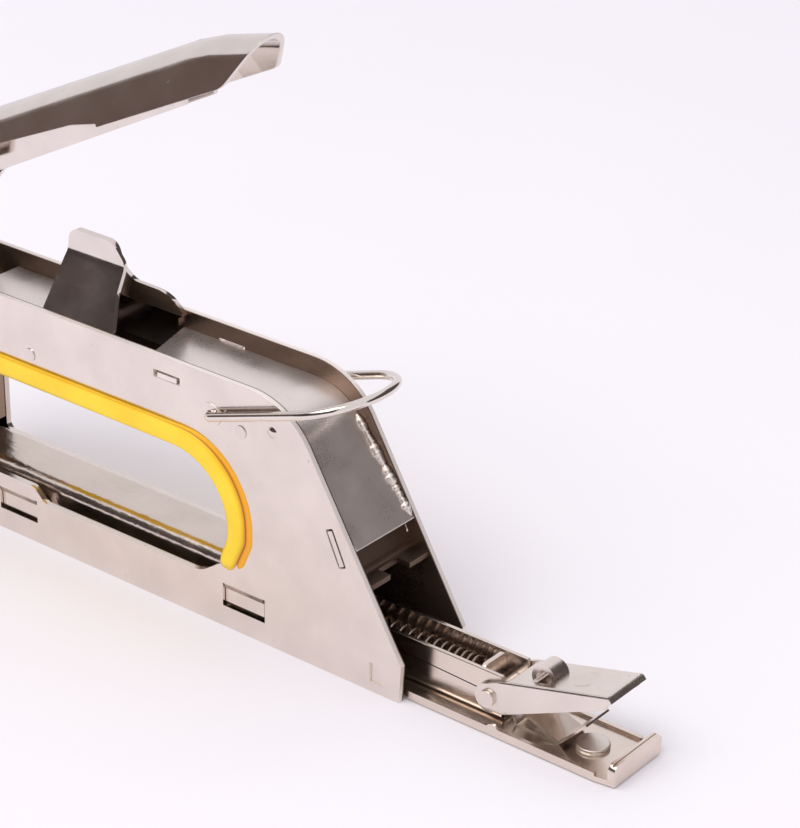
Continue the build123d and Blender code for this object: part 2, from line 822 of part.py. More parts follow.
# Bail
bail_path = Wire(path([
    (0, -inner + 1.2), (0, -bail_half, bail_bend), (bail_reach, -bail_half, bail_half - 0.05),
    (bail_reach, bail_half, bail_half - 0.05), (0, bail_half, bail_bend), (0, inner - 1.2),
], closed=False))
bail_section = Plane(origin=(0, -inner + 1.2, 0), z_dir=(0, -1, 0)) * Circle(bail_wire / 2)
bail = sweep(bail_section, path=bail_path)
save("bail", Pos(bail_x, 0, bail_z) * Rot(0, -bail_angle, 0) * bail)

# Feeder base tray
tray = outline([
    (base_front, -base_half), (lip_front - 3.0, -base_half), (lip_rear, -lip_width / 2 + 0.4),
    (lip_rear, lip_width / 2 - 0.4), (lip_front - 3.0, base_half), (base_front, base_half),
])
base = Pos(0, 0, base_clear) * extrude(tray, base_sheet)
for s in (-1, 1):
    a = s * base_half
    b = s * (base_half - 1.0)
    base += block(base_front, lip_front - 3.0, min(a, b), max(a, b), base_top - 0.1, base_top + base_flange)
    curl = pin(curl_x, base_top, curl_radius, min(a, b), max(a, b))
    base += curl & block(curl_x - 4, curl_x + 4, min(a, b), max(a, b), base_clear, base_top + 4)
lip_face = Pos(0, (base_clear + lip_height + base_clear) / 2) * RectangleRounded(lip_width, lip_height, 1.6)
lip = along(lip_face, lip_front, lip_rear)
lip -= block(lip_front + 0.65, lip_rear - 0.65, -lip_width, lip_width, base_clear + lip_height - 0.4, 20)
base += lip
save("feeder_base", base)

# Feeder rail, guide rod, rod tab and disc rivet
rail_path = [
    (rail_half, rail_top), (rail_half, base_top, 1.8), (-rail_half, base_top, 1.8), (-rail_half, rail_top),
]
rail = along(outline(rail_path + shifted(rail_path, -rail_sheet)[::-1]), rail_front, rail_rear)
rail -= pin(latch_pin_x, latch_pin_z, latch_pin_radius, -half, half)
save("feeder_rail", rail)

tab_face = Pos(0, (base_top + rail_sheet + rail_top) / 2) * RectangleRounded(
    2 * rail_inner - 0.1, rail_top - base_top - rail_sheet, 1.2)
rod_tab = along(tab_face, tab_x, tab_x + tab_sheet)
rod_tab -= rod(tab_x - 1, tab_x + tab_sheet + 1, 0, rod_height, rod_radius)
save("rod_tab", rod_tab)

shoe_front = rail_front + 1.0
shoe_rear = shoe_front + shoe_length
save("guide_rod", rod(rail_front + 0.4, tab_x + tab_sheet + 1.0, 0, rod_height, rod_radius))

disc = Pos(disc_x, 0, base_top + disc_height / 2) * Cylinder(disc_radius, disc_height)
disc = fillet(disc.edges().group_by(Axis.Z)[-1], 0.35)
save("disc_rivet", disc)

# Pusher shoe and its spring
shoe_low = base_top + rail_sheet + fit_sliding
shoe_half = rail_inner - fit_sliding
shoe = block(shoe_front, shoe_rear, -shoe_half, shoe_half, shoe_low, rail_top + 0.2)
shoe = fillet(shoe.edges().filter_by(Axis.X).group_by(Axis.Z)[0], 1.0)
shoe -= rod(shoe_front - 1, shoe_rear + 1, 0, rod_height, rod_radius + fit_running)
cap_low = rail_top + fit_sliding
wing = rail_half + fit_sliding
shoe += block(shoe_front, shoe_rear, -wing - shoe_sheet, wing + shoe_sheet, cap_low, cap_low + shoe_sheet)
for s in (-1, 1):
    a = s * wing
    b = s * (wing + shoe_sheet)
    shoe += block(shoe_front, shoe_rear, min(a, b), max(a, b), rail_top - 6.0, cap_low + 0.1)
save("pusher_shoe", shoe)

push_length = tab_x - shoe_rear
graded_count = 2 * push_turns_graded
graded = [push_pitch_end * (2.15 - 1.15 * (i + 0.5) / graded_count) for i in range(graded_count)]
open_pitch = (push_length - 7.2 * push_wire - sum(graded) / 2) / push_turns_open
push_coil = coil("pusher_spring", push_radius, push_wire, push_length,
                 [open_pitch] * (2 * push_turns_open) + graded)
save("pusher_spring", Pos(shoe_rear, 0, rod_height) * Rot(0, 90, 0) * push_coil)

# Latch plate, drawn open
latch_tan = tan(radians(latch_slope))
latch_in = rail_half + 0.2
latch_half = latch_in + latch_sheet


def latch_top(x):
    return latch_pin_z + latch_rise + (x - latch_start) * latch_tan


arm_side = outline([
    (latch_pin_x - 1.6, latch_pin_z + latch_eye - 0.5), (latch_start, latch_top(latch_start)),
    (latch_end, latch_top(latch_end)), (latch_end - 0.4, latch_top(latch_end) - latch_arm_tip, 0.8),
    (latch_pin_x + 3.4, latch_pin_z - latch_eye + 0.5, 3.0), (latch_pin_x, latch_pin_z - latch_eye + 0.4),
]) + Pos(latch_pin_x, latch_pin_z) * Circle(latch_eye)
arm_side -= Pos(latch_pin_x, latch_pin_z) * Circle(latch_pin_radius + fit_running)
latch = across(arm_side, latch_in, latch_half)
latch += other_side(latch)
plate_path = [
    (latch_start, latch_top(latch_start)), (latch_end, latch_top(latch_end), 1.2),
    (latch_end + 1.0, latch_top(latch_end) - 1.2),
]
latch += across(strip(plate_path, latch_sheet), -latch_half, latch_half)
top_edges = [
    e for e in latch.edges()
    if abs(abs(e.center().Y) - latch_half) < 1e-3 and abs(e.center().Z - latch_top(e.center().X)) < 0.02
    and e.length > 10
]
latch = fillet(top_edges, 0.7)
on_plate = Pos(latch_loop_x, 0, latch_top(latch_loop_x)) * Rot(0, -latch_slope, 0)
loop_in = latch_loop_radius - latch_loop_sheet
loop = Rot(90, 0, 0) * (Cylinder(latch_loop_radius, 2 * latch_loop_half) - Cylinder(loop_in, 3 * latch_loop_half))
loop -= Pos(0, 0, -latch_loop_radius - latch_sheet / 2) * Box(
    3 * latch_loop_radius, 3 * latch_loop_half, 2 * latch_loop_radius)
latch -= on_plate * Pos(0, -0.4 * latch_loop_half, 0) * Box(2 * loop_in, 2.8 * latch_loop_half, 4 * latch_sheet)
latch += on_plate * loop
press = Pos(latch_dimple_x, 0, latch_top(latch_dimple_x) + latch_dimple_ball - latch_dimple_depth) * Sphere(
    latch_dimple_ball)
latch -= press & block(latch_dimple_x - 4, latch_dimple_x + 4, -4, 4,
                       latch_top(latch_dimple_x) - latch_dimple_depth - 0.1, 40)
save("latch_plate", latch)

# Latch pin
latch_bolt = pin(latch_pin_x, latch_pin_z, latch_pin_radius, -latch_half, latch_half)
for s in (-1, 1):
    a = s * latch_half
    b = s * (latch_half + latch_head)
    latch_bolt += pin(latch_pin_x, latch_pin_z, latch_head_radius, min(a, b), max(a, b))
save("latch_pin", latch_bolt)

# Latch leaf spring, one bent strip with a rising tail
leaf_start = curl_x + curl_radius + 0.5
fold_x = disc_x - disc_radius - 1.6
floor_z = base_top + leaf_sheet
lower = strip([
    (leaf_start, floor_z + leaf_foot), (leaf_start + 0.8, floor_z, 0.6), (fold_x - 0.6, floor_z, 0.8),
    (fold_x + leaf_tail_run, floor_z + leaf_tail_rise)], leaf_sheet)
upper = strip([
    (leaf_start + 0.4, floor_z + leaf_top), (leaf_start + 2.3, floor_z + leaf_knee, 0.9),
    (fold_x - 0.2, floor_z + 0.1)], leaf_sheet)
leaf_spring = across(lower + upper, -leaf_width / 2, leaf_width / 2)
save("latch_leaf", leaf_spring)
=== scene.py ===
import math
import random

import bmesh
import bpy
from mathutils import Matrix, Vector


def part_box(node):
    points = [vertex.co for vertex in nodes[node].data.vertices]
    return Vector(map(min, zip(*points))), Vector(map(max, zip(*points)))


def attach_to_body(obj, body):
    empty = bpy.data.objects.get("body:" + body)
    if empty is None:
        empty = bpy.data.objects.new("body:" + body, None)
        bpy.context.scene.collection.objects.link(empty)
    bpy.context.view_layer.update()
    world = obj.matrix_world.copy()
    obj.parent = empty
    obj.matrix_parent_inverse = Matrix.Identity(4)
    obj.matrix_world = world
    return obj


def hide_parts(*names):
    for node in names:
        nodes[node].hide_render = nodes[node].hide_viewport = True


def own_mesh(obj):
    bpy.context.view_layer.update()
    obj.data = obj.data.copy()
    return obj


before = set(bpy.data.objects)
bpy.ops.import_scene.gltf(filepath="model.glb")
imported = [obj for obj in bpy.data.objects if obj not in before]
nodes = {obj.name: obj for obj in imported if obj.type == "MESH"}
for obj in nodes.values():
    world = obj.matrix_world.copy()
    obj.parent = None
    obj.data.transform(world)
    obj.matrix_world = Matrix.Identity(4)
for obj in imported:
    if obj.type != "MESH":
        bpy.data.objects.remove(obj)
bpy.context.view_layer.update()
MM = 0.001
scene = bpy.context.scene
scene.view_settings.view_transform = "Standard"


# Node helpers
NOISE_ROUGHNESS = 0.55


def new_tree(name):
    mat = bpy.data.materials.new(name)
    mat.use_nodes = True
    tree = mat.node_tree
    tree.nodes.clear()
    out = tree.nodes.new("ShaderNodeOutputMaterial")
    shader = tree.nodes.new("ShaderNodeBsdfPrincipled")
    tree.links.new(shader.outputs[0], out.inputs[0])
    return mat, tree, shader


def add(tree, kind, **values):
    node = tree.nodes.new(kind)
    for key, value in values.items():
        setattr(node, key, value)
    return node


def split(tree, vector):
    """The X, Y and Z sockets of a vector socket."""
    node = add(tree, "ShaderNodeSeparateXYZ")
    tree.links.new(vector, node.inputs[0])
    return node.outputs["X"], node.outputs["Y"], node.outputs["Z"]


def noise(tree, scale, detail, stretch=(1, 1, 1)):
    """Noise in the piece's own coordinates, with scale counted per metre."""
    where = add(tree, "ShaderNodeTexCoord")
    mapping = add(tree, "ShaderNodeMapping")
    mapping.inputs["Scale"].default_value = stretch
    tree.links.new(where.outputs["Object"], mapping.inputs["Vector"])
    node = add(tree, "ShaderNodeTexNoise")
    node.inputs["Scale"].default_value = scale
    node.inputs["Detail"].default_value = detail
    node.inputs["Roughness"].default_value = NOISE_ROUGHNESS
    tree.links.new(mapping.outputs[0], node.inputs["Vector"])
    return node.outputs["Fac"]


def span(tree, value, low, high, to_low, to_high):
    """Maps low..high to to_low..to_high and holds the ends."""
    node = add(tree, "ShaderNodeMapRange")
    node.inputs["From Min"].default_value = low
    node.inputs["From Max"].default_value = high
    node.inputs["To Min"].default_value = to_low
    node.inputs["To Max"].default_value = to_high
    tree.links.new(value, node.inputs["Value"])
    return node.outputs["Result"]


def math_node(tree, operation, a, b=None):
    node = add(tree, "ShaderNodeMath", operation=operation)
    for slot, value in enumerate((a, b)):
        if value is None:
            continue
        if isinstance(value, (int, float)):
            node.inputs[slot].default_value = value
        else:
            tree.links.new(value, node.inputs[slot])
    return node.outputs[0]


def mix_color(tree, fac, a, b):
    node = add(tree, "ShaderNodeMix", data_type="RGBA")
    tree.links.new(fac, node.inputs[0])
    for slot, value in ((6, a), (7, b)):
        if isinstance(value, tuple):
            node.inputs[slot].default_value = (*value, 1)
        else:
            tree.links.new(value, node.inputs[slot])
    return node.outputs[2]


def bump(tree, height, strength, distance, below=None):
    node = add(tree, "ShaderNodeBump")
    node.inputs["Strength"].default_value = strength
    node.inputs["Distance"].default_value = distance
    tree.links.new(height, node.inputs["Height"])
    if below is not None:
        tree.links.new(below, node.inputs["Normal"])
    return node.outputs[0]


# Plated steel: noise scales per metre, relief in metres
CLOUD_SCALE = 90
CLOUD_SHADES = (0.94, 1.04)
CLOUD_TINT_RANGE = (0.35, 0.7)
CLOUD_ROUGH_RANGE = (0.3, 0.75)
CLOUD_ROUGH_SHARES = (0.8, 1.3)
PIT_SCALE = 900
PIT_LIMITS = (0.72, 0.8)
PIT_SHADE = 0.62
PIT_DEPTH = 0.0001
GRAIN_SCALE = 700
GRAIN_RANGE = (0.3, 0.7)
GRAIN_ROUGHNESS = (-0.02, 0.03)
GRAIN_STRENGTH = 0.015
GRAIN_DEPTH = 0.0001
WAVE_SCALE = 45
WAVE_DEPTH = 0.0006
HAMMER_SCALE = 420
HAMMER_STRETCH = (1, 1.6, 1.6)
HAMMER_DEPTH = 0.0003
# Painted shade on the sheet's inner faces deep at the rear and the top: a darker tint, with less
# metal and more roughness
INSIDE_BLUR = 0.1 * MM
INSIDE_FROM_X = (0.121, 0.126)
INSIDE_FROM_Z = (0.040, 0.043)
INSIDE_SHADE_TINT = (0.25, 0.175, 0.135)
INSIDE_METAL = 0.92
INSIDE_ROUGHNESS = 0.12
EDGE_FACING = (0.25, 0.75)
EDGE_TINT = (0.97, 0.90, 0.85)
EDGE_SHARE = 0.7
EDGE_ROUGHNESS = 0.3
EDGE_METAL_LOSS = 0.45
# Painted shade on faces that look down: a brown tint, with less metal
UNDER_FACING = (-0.4, -0.1)
UNDER_SHADE_TINT = (0.44, 0.29, 0.21)
UNDER_METAL = 0.7


def plate(name, color, rough, grain, waviness, metal=1.0, shaded_half_width=None,
          inside_shade_color=INSIDE_SHADE_TINT, edges=False, shade_under=False, hammered=0.0, pitted=0.25):
    """Plated sheet steel: cloudy plating, faint polishing grain, small pits and a soft waviness.
    Within the given half width, the sheet's inner face at the rear and the top is painted darker as
    shade and made dull and oily, and edges makes the sheared edges there pale and matt. Faces that
    look down can be painted brown as shade and made dull, and hammered adds a small uneven relief."""
    mat, tree, shader = new_tree(name)
    shader.inputs["Metallic"].default_value = metal
    metallic = None
    cloud = noise(tree, CLOUD_SCALE, 3)
    dark, bright = CLOUD_SHADES
    tint = mix_color(tree, span(tree, cloud, *CLOUD_TINT_RANGE, 0, 1),
                     tuple(c * dark for c in color), tuple(min(1, c * bright) for c in color))
    if pitted:
        spots = span(tree, noise(tree, PIT_SCALE, 2), *PIT_LIMITS, 0, 1)
        tint = mix_color(tree, spots, tint, tuple(c * PIT_SHADE for c in color))
    grain_fac = noise(tree, GRAIN_SCALE, 3, grain)
    roughness = span(tree, cloud, *CLOUD_ROUGH_RANGE, *(rough * n for n in CLOUD_ROUGH_SHARES))
    roughness = math_node(tree, "ADD", roughness,
                          span(tree, grain_fac, *GRAIN_RANGE, *GRAIN_ROUGHNESS))
    # Painted shade: the inner faces deep at the rear and the top are darkened to the inside tint,
    # and made less metallic and rougher
    if shaded_half_width is not None:
        x, y, z = split(tree, add(tree, "ShaderNodeTexCoord").outputs["Object"])
        inside_shade = span(tree, math_node(tree, "ABSOLUTE", y),
                      shaded_half_width - INSIDE_BLUR, shaded_half_width + INSIDE_BLUR, 1, 0)
        deep = math_node(tree, "MAXIMUM", span(tree, x, *INSIDE_FROM_X, 0, 1),
                         span(tree, z, *INSIDE_FROM_Z, 0, 1))
        inside_shade = math_node(tree, "MULTIPLY", inside_shade, deep)
        tint = mix_color(tree, inside_shade, tint, inside_shade_color)
        metallic = span(tree, inside_shade, 0, 1, metal, INSIDE_METAL * metal)
        roughness = math_node(tree, "ADD", roughness,
                              math_node(tree, "MULTIPLY", inside_shade, INSIDE_ROUGHNESS))
        if edges:
            normal_y = split(tree, add(tree, "ShaderNodeNewGeometry").outputs["True Normal"])[1]
            sheared = span(tree, math_node(tree, "ABSOLUTE", normal_y), *EDGE_FACING, 1, 0)
            sheared = math_node(tree, "MULTIPLY", sheared,
                                math_node(tree, "SUBTRACT", deep, inside_shade))
            roughness = math_node(tree, "ADD", roughness,
                                  math_node(tree, "MULTIPLY", sheared, EDGE_ROUGHNESS))
            tint = mix_color(tree, math_node(tree, "MULTIPLY", sheared, EDGE_SHARE),
                             tint, EDGE_TINT)
            metallic = math_node(tree, "SUBTRACT", metallic,
                                 math_node(tree, "MULTIPLY", sheared, EDGE_METAL_LOSS))
    # Painted shade: faces that look down are tinted brown and made less metallic
    if shade_under:
        normal_z = split(tree, add(tree, "ShaderNodeNewGeometry").outputs["Normal"])[2]
        under_shade = span(tree, normal_z, *UNDER_FACING, 1, 0)
        tint = mix_color(tree, under_shade, tint, UNDER_SHADE_TINT)
        metallic = span(tree, under_shade, 0, 1, metal, UNDER_METAL * metal)
    if metallic is not None:
        tree.links.new(metallic, shader.inputs["Metallic"])
    tree.links.new(tint, shader.inputs["Base Color"])
    tree.links.new(roughness, shader.inputs["Roughness"])
    relief = bump(tree, noise(tree, WAVE_SCALE, 1), waviness, WAVE_DEPTH)
    if hammered:
        relief = bump(tree, noise(tree, HAMMER_SCALE, 2, HAMMER_STRETCH), hammered,
                      HAMMER_DEPTH, relief)
    relief = bump(tree, grain_fac, GRAIN_STRENGTH, GRAIN_DEPTH, relief)
    if pitted:
        relief = bump(tree, spots, pitted, -PIT_DEPTH, relief)
    tree.links.new(relief, shader.inputs["Normal"])
    return mat


# Name, colour, roughness, stretch of the grain, waviness
NICKEL = (0.80, 0.72, 0.665)
# The panels' inner faces deep in the body get painted shade
panel_mat = plate("plated_panel", NICKEL, 0.17, (1, 1, 6), 0.16,
                  shaded_half_width=9.9 * MM, edges=True)
cover_mat = plate("plated_cover", (0.86, 0.78, 0.73), 0.3, (1, 6, 1), 0.35,
                  metal=0.86, pitted=0.0)
# The fins' faces that look down get painted shade
fin_mat = plate("plated_fin", (0.76, 0.69, 0.65), 0.15, (1, 6, 1), 0.3, shade_under=True)
handle_mat = plate("plated_handle", (0.76, 0.69, 0.645), 0.13, (1, 8, 8), 0.22)
feeder_mat = plate("plated_feeder", (0.80, 0.70, 0.625), 0.2, (1, 6, 6), 0.22)
latch_mat = plate("plated_latch", (0.81, 0.73, 0.67), 0.22, (1, 5, 5), 0.3,
                  hammered=0.05, pitted=0.1)
wire_mat = plate("plated_wire", (0.80, 0.735, 0.68), 0.12, (1, 1, 1), 0.08)
# Inner parts: oiled steel, made darker still as painted shade of the body's interior
inner_shaded_mat = plate("oiled_steel_and_painted_shade", (0.40, 0.29, 0.22), 0.28, (1, 6, 6), 0.3)
housing_mat = plate("housing_steel", (0.70, 0.61, 0.55), 0.2, (1, 8, 8), 0.4, hammered=0.35)
# The strike plate's inner face is painted near black as shade
strike_mat = plate("strike_steel", NICKEL, 0.25, (1, 6, 6), 0.3,
                   shaded_half_width=9.7 * MM, inside_shade_color=(0.15, 0.10, 0.075))
rivet_mat = plate("rivet_steel", (0.82, 0.745, 0.69), 0.36, (1, 1, 1), 0.3)
# Spring wire made dark brown as painted shadow inside the rail
spring_shadow_mat = plate("spring_wire_painted_shadow", (0.40, 0.31, 0.25), 0.16, (1, 1, 1), 0.1)


# Yellow plastic of the grip liner
LINER_CLOUD_SCALE = 120
LINER_ROUGHNESS = (0.30, 0.42)
LINER_SPECULAR = 0.45
LINER_SUBSURFACE = 0.08
LINER_SUBSURFACE_RADIUS = (0.002, 0.0012, 0.0003)
LINER_GRAIN_SCALE = 1400
LINER_GRAIN_STRENGTH = 0.06
LINER_GRAIN_DEPTH = 0.0001
YELLOWS = ((0.90, 0.615, 0.018), (0.96, 0.68, 0.03))
# Painted shade: orange on the liner's thin rear lip; near black for dust on the back seams and
# painted shade in the crease
LINER_EDGE_SHADE_TINT = (0.80, 0.26, 0.004)
LINER_DUST_AND_SHADE_TINT = (0.035, 0.022, 0.014)


def liner_plastic():
    """The mesh's edge values paint the thin rear lip orange as shade, and its dust and shade values
    darken the back seams as dust and the crease as painted shade.
    """
    mat, tree, shader = new_tree("yellow_liner")
    cloud = noise(tree, LINER_CLOUD_SCALE, 3)
    color = mix_color(tree, span(tree, cloud, 0.35, 0.65, 0, 1), *YELLOWS)
    for mark, tint in (("edge", LINER_EDGE_SHADE_TINT), ("dust_and_shade", LINER_DUST_AND_SHADE_TINT)):
        share = add(tree, "ShaderNodeAttribute", attribute_name=mark)
        color = mix_color(tree, share.outputs["Fac"], color, tint)
    tree.links.new(color, shader.inputs["Base Color"])
    tree.links.new(span(tree, cloud, 0.3, 0.7, *LINER_ROUGHNESS), shader.inputs["Roughness"])
    shader.inputs["Specular IOR Level"].default_value = LINER_SPECULAR
    shader.inputs["Subsurface Weight"].default_value = LINER_SUBSURFACE
    shader.inputs["Subsurface Radius"].default_value = LINER_SUBSURFACE_RADIUS
    shader.inputs["Subsurface Scale"].default_value = 1.0
    fine = bump(tree, noise(tree, LINER_GRAIN_SCALE, 3), LINER_GRAIN_STRENGTH, LINER_GRAIN_DEPTH)
    tree.links.new(fine, shader.inputs["Normal"])
    return mat


liner_mat = liner_plastic()

# Finish and rounded edges of the CAD nodes
WELD_DISTANCE = 1e-6
BEVEL_ANGLE = 35
NORMAL_WEIGHT = 90


def dress(names, mat, edge, segments=2):
    """Gives CAD nodes a finish and a small rounded edge, whose width is in millimetres."""
    for name in names:
        ob = nodes[name]
        ob.data.materials.clear()
        ob.data.materials.append(mat)
        if edge:
            weld = ob.modifiers.new("join", "WELD")
            weld.merge_threshold = WELD_DISTANCE
            soft = ob.modifiers.new("edge", "BEVEL")
            soft.width = edge * MM
            soft.segments = segments
            soft.limit_method = "ANGLE"
            soft.angle_limit = math.radians(BEVEL_ANGLE)
            soft.harden_normals = False
            flow = ob.modifiers.new("flow", "WEIGHTED_NORMAL")
            flow.mode = "FACE_AREA"
            flow.weight = NORMAL_WEIGHT
            flow.keep_sharp = True


dress(["side_panel_right", "side_panel_left"], panel_mat, 0.35, 3)
dress(["spine_cover", "front_cover"], cover_mat, 0.2)
dress(["stop_fin_right", "stop_fin_left", "nose_plate"], fin_mat, 0.2)
dress(["handle_shell"], handle_mat, 0.25, 3)
dress(["inner_lever"], handle_mat, 0.15)
dress(["feeder_base", "feeder_rail", "rod_tab"], feeder_mat, 0.18)
dress(["latch_plate"], latch_mat, 0.18)
dress(["cross_pins", "handle_pivot", "handle_rivets", "disc_rivet", "latch_pin"], rivet_mat, 0.18)
dress(["bail", "guide_rod"], wire_mat, 0)
dress(["strike_plate"], strike_mat, 0.15)
dress(["driver_guide", "spring_seat", "guard_plate", "hammer", "driver_blade", "pusher_shoe"],
      inner_shaded_mat, 0.15)
dress(["magazine_housing"], housing_mat, 0.12)
dress(["latch_leaf"], feeder_mat, 0.08)


def attach(ob, body, mat):
    scene.collection.objects.link(ob)
    ob.data.materials.append(mat)
    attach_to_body(ob, body)
    return ob


# Grip liner, a moulded strip swept round the top and the rear of the hand opening, in millimetres
LINER_TOP_WIDTH = 5.7
LINER_REAR_WIDTH = 7.8
LINER_OUTER_RADIUS = 19.0
LINER_INNER_RADIUS = 15.0
LINER_FOOT_RADIUS = 5.0
LINER_FOOT_OUTER = (3.5, 22.7)
LINER_FOOT_INNER = (10.6, 22.2)
LINER_FOOT_RISE = 0.7
LINER_RINGS = 90
LINER_ARC_STEPS = 16
LINER_END_PULLS = (0.45, 0.12)
LINER_END_SQUEEZE = 0.4
LINER_FOLD_START = 0.52
LINER_FOLD_LENGTH = 0.26
LINER_ROUND = 2.1
LINER_ROUND_STEPS = 5
LINER_SKIRT = 5.0
# Profile point of the crease between the bulge and the lip, and the painted shade put there
LINER_CREASE = 5
LINER_CREASE_SHADE = 0.6


def chain(corners, steps):
    """Points along a path whose corners are (x, z), or (x, z, radius) where they are rounded."""
    points = []
    for i, corner in enumerate(corners):
        p = Vector(corner[:2])
        if len(corner) == 2:
            points.append(p)
            continue
        r = corner[2]
        a = (Vector(corners[i - 1][:2]) - p).normalized()
        b = (Vector(corners[i + 1][:2]) - p).normalized()
        half_angle = a.angle(b) / 2
        t = r / math.tan(half_angle)
        middle = p + (a + b).normalized() * (r / math.sin(half_angle))
        start = p + a * t - middle
        stop = p + b * t - middle
        turn = start.angle_signed(stop)
        for k in range(steps + 1):
            points.append(middle + Matrix.Rotation(-turn * k / steps, 2) @ start)
    return points


def even(points, count):
    """The path again, as points at equal distances along it."""
    lengths = [0.0]
    for a, b in zip(points, points[1:]):
        lengths.append(lengths[-1] + (b - a).length)
    out = []
    j = 0
    for k in range(count):
        want = lengths[-1] * k / (count - 1)
        while j < len(points) - 2 and lengths[j + 1] < want:
            j += 1
        step = lengths[j + 1] - lengths[j]
        out.append(points[j].lerp(points[j + 1], (want - lengths[j]) / step if step else 0))
    return out


def liner_profile(width, side, fold):
    """Half of the liner's section, as (distance from the outer path, y, painted edge shade). fold,
    from 0 to 1, widens the thin lip on the outer side, sets it back from the face and deepens the
    painted shade on it."""
    lip = 0.25 + 2.0 * fold
    step = 0.12 + 0.75 * fold
    # Painted shade on the lip, deeper where it folds out
    edge_shade = 0.35 + 0.45 * fold
    profile = [(0.0, side - step - 1.1, edge_shade),
               (0.0, side - step - 0.5, edge_shade),
               (0.12 * lip, side - step - 0.15, edge_shade),
               (0.45 * lip, side - step, 0.8 * edge_shade),
               (0.85 * lip, side - step - 0.02, edge_shade),
               (lip, side - step - 0.12, 1.0),
               (lip + 0.15, side - 0.7 * step, 0.7 * edge_shade),
               (lip + 0.45, side - 0.25 * step, 0.2 * edge_shade),
               (lip + 0.95, side, 0.0),
               (0.5 * (lip + 0.95 + width - LINER_ROUND), side, 0.0)]
    for k in range(LINER_ROUND_STEPS + 1):
        a = math.pi / 2 * k / LINER_ROUND_STEPS
        profile.append((width - LINER_ROUND + LINER_ROUND * math.sin(a),
                        side - LINER_ROUND + LINER_ROUND * math.cos(a),
                        0.1 * k / LINER_ROUND_STEPS))
    return profile + [(width, side - LINER_SKIRT, 0.1)]


def make_liner():
    low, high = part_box("grip_liner")
    low = low / MM
    high = high / MM
    run, bend = LINER_FOOT_OUTER
    outer_chain = [(low.x, high.z),
                   (high.x, high.z, LINER_OUTER_RADIUS),
                   (high.x, bend, LINER_FOOT_RADIUS),
                   (high.x - run, low.z)]
    run, bend = LINER_FOOT_INNER
    inner_chain = [(low.x, high.z - LINER_TOP_WIDTH),
                   (high.x - LINER_REAR_WIDTH, high.z - LINER_TOP_WIDTH, LINER_INNER_RADIUS),
                   (high.x - LINER_REAR_WIDTH, bend, LINER_FOOT_RADIUS),
                   (high.x - run, low.z + LINER_FOOT_RISE)]
    count = LINER_RINGS
    outer = even(chain(outer_chain, LINER_ARC_STEPS), count)
    inner = even(chain(inner_chain, LINER_ARC_STEPS), count)
    bm = bmesh.new()
    # Painted shade: the edge layer paints the lip orange as shade, the next layer darkens the back
    # seams as dust and the crease as shade
    mark = bm.verts.layers.float.new("edge")
    dust_and_shade_layer = bm.verts.layers.float.new("dust_and_shade")
    rings = []
    for i, (o, n) in enumerate(zip(outer, inner)):
        width = (n - o).length
        way = (n - o) / width
        end = min(i, count - 1 - i)
        pull = LINER_END_PULLS[end] if end < len(LINER_END_PULLS) else 0.0
        fold = min(1.0, max(0.0, (i / (count - 1) - LINER_FOLD_START) / LINER_FOLD_LENGTH))
        fold = fold * fold * (3 - 2 * fold)
        half_ring = liner_profile(width, high.y, fold)
        ring = half_ring + [(u, -y, e) for u, y, e in reversed(half_ring)]
        last = len(ring) - 1
        verts = []
        for k, (u, y, e) in enumerate(ring):
            u = width / 2 + (u - width / 2) * (1 - pull * LINER_END_SQUEEZE)
            y = y - math.copysign(pull, y)
            p = o + way * u
            v = bm.verts.new((p.x * MM, y * MM, p.y * MM))
            v[mark] = e
            # Painted shade in the crease, deeper where the lip folds out; the back seams get dust
            crease = LINER_CREASE_SHADE * fold if k in (LINER_CREASE, last - LINER_CREASE) else 0.0
            v[dust_and_shade_layer] = 1.0 if k in (0, last) else crease
            verts.append(v)
        rings.append(verts)
    close_tube(bm, rings)
    for f in bm.faces:
        f.smooth = len(f.verts) == 4
    ob = bpy.data.objects.new("grip_liner_moulding", to_mesh(bm, "liner"))
    attach(ob, "body", liner_mat)
    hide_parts("grip_liner")


def close_tube(bm, rings):
    """Joins rings of vertices to a tube with closed ends."""
    size = len(rings[0])
    for a, b in zip(rings, rings[1:]):
        for k in range(size):
            bm.faces.new((a[k], a[(k + 1) % size], b[(k + 1) % size], b[k]))
    bm.faces.new(rings[0])
    bm.faces.new(list(reversed(rings[-1])))
    bmesh.ops.recalc_face_normals(bm, faces=bm.faces)


def to_mesh(bm, name):
    mesh = bpy.data.meshes.new(name)
    bm.to_mesh(mesh)
    bm.free()
    return mesh


make_liner()

# Springs, copied from the CAD coils
X_AXIS = 0
Z_AXIS = 2


def make_spring(name, node, body, axis):
    """A smooth-shaded copy of the coil, attached to the joint's body; its fixed end is the upper or
    rear one.
    """
    low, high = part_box(node)
    ob = bpy.data.objects.new(name, nodes[node].data.copy())
    ob.data.materials.clear()
    attach(ob, body, spring_shadow_mat)
    for face in ob.data.polygons:
        face.use_smooth = True
    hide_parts(node)
    way = Vector((0, 0, 0))
    way[axis] = 1
    anchor = (low + high) / 2
    anchor[axis] = high[axis]
    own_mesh(ob)


make_spring("main_spring_coil", "main_spring", "body", Z_AXIS)
make_spring("pusher_spring_coil", "pusher_spring", "feeder", X_AXIS)

# Weld bead, in millimetres from the corners of the spine cover's box
BEAD_TOP = (15.6, 5.1)
BEAD_FOOT = (0.5, 1.3)
BEAD_WALL = 9.6
BEAD_WALL_GAP = 0.02
BEAD_INSET = 0.6
BEAD_RISE = 0.1
BEAD_SEED = 7
BEAD_RINGS = 70
BEAD_SIDES = 8
BEAD_START = 0.55
BEAD_MEAN = 0.72
BEAD_SWELL = 0.25
BEAD_SWELL_RATE = 23
BEAD_JITTER = 0.35
BEAD_FOLLOW = 0.6
BEAD_TAPER = (0.25, 6)
BEAD_ROUGHNESS = 0.1
BEAD_WIDTH = 1.3


